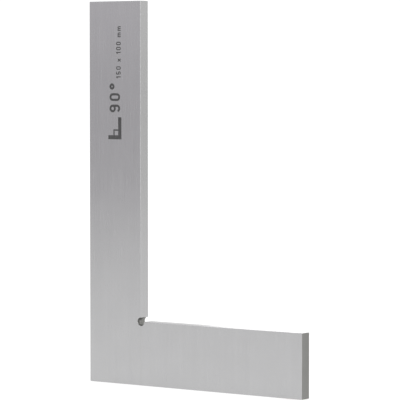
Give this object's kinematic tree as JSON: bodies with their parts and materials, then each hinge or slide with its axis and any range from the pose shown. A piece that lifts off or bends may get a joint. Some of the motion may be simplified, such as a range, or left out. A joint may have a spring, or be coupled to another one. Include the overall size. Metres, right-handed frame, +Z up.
{
  "type": "steel engineer's square",
  "caption": "Flat L-shaped steel square: a long and a short ground leg at a true right angle, with a relief hole in the inner corner.",
  "frame": {"origin": "middle of the foot: halfway along the short leg's outer edge, at the middle of the thickness", "axes": "+Z up along the long leg, +X along the short leg towards its free end, -Y out of the marked front face"},
  "size_m": [0.1, 0.005, 0.15],
  "materials": {
    "ground_steel": "fine ground, grain along the long leg",
    "braze_alloy": "ground flush with the steel",
    "etched_mark": "matte dark oxide left by laser etching"
  },
  "bodies": {
    "root": {"long_leg": "ground_steel", "short_leg": "ground_steel", "braze_seam": "braze_alloy", "angle_mark": "etched_mark", "size_mark": "etched_mark"}
  },
  "joints": []
}
